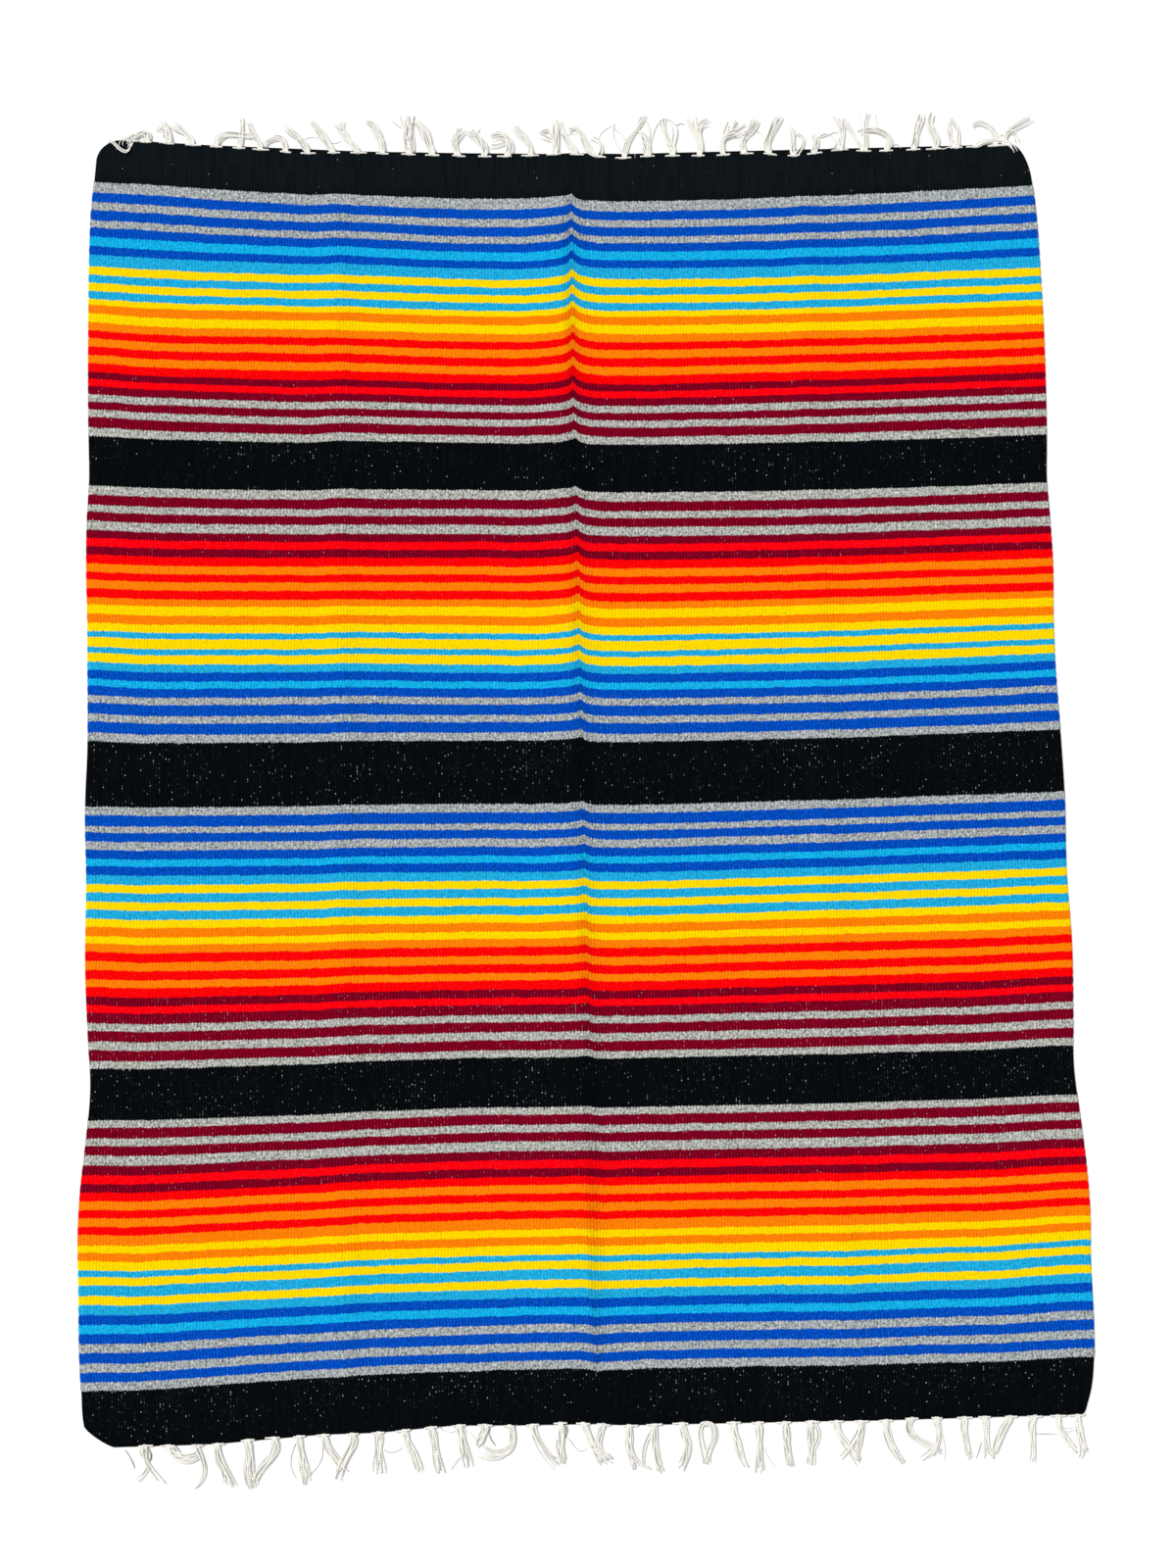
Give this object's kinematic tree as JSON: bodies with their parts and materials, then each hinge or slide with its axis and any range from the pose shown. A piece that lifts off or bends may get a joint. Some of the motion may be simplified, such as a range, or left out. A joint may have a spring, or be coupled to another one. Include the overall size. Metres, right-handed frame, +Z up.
{
  "type": "mexican serape blanket laid flat",
  "caption": "Striped serape blanket lying flat, one woven cloth with soft fold creases and a tasselled warp fringe along both ends.",
  "frame": {"origin": "on the floor, below the middle of the whole outline with its fringes", "axes": "+Y along the blanket towards its far end, +X across it to the right, +Z up from the floor"},
  "size_m": [1.546, 2.145, 0.0165],
  "materials": {
    "striped_weave": "matte weft-faced weave in rainbow stripes between black bands",
    "warp_cotton": "matte off-white loose-spun cotton"
  },
  "bodies": {
    "root": {"serape_cloth": "striped_weave", "fringe_far": "warp_cotton", "fringe_near": "warp_cotton"}
  },
  "joints": []
}
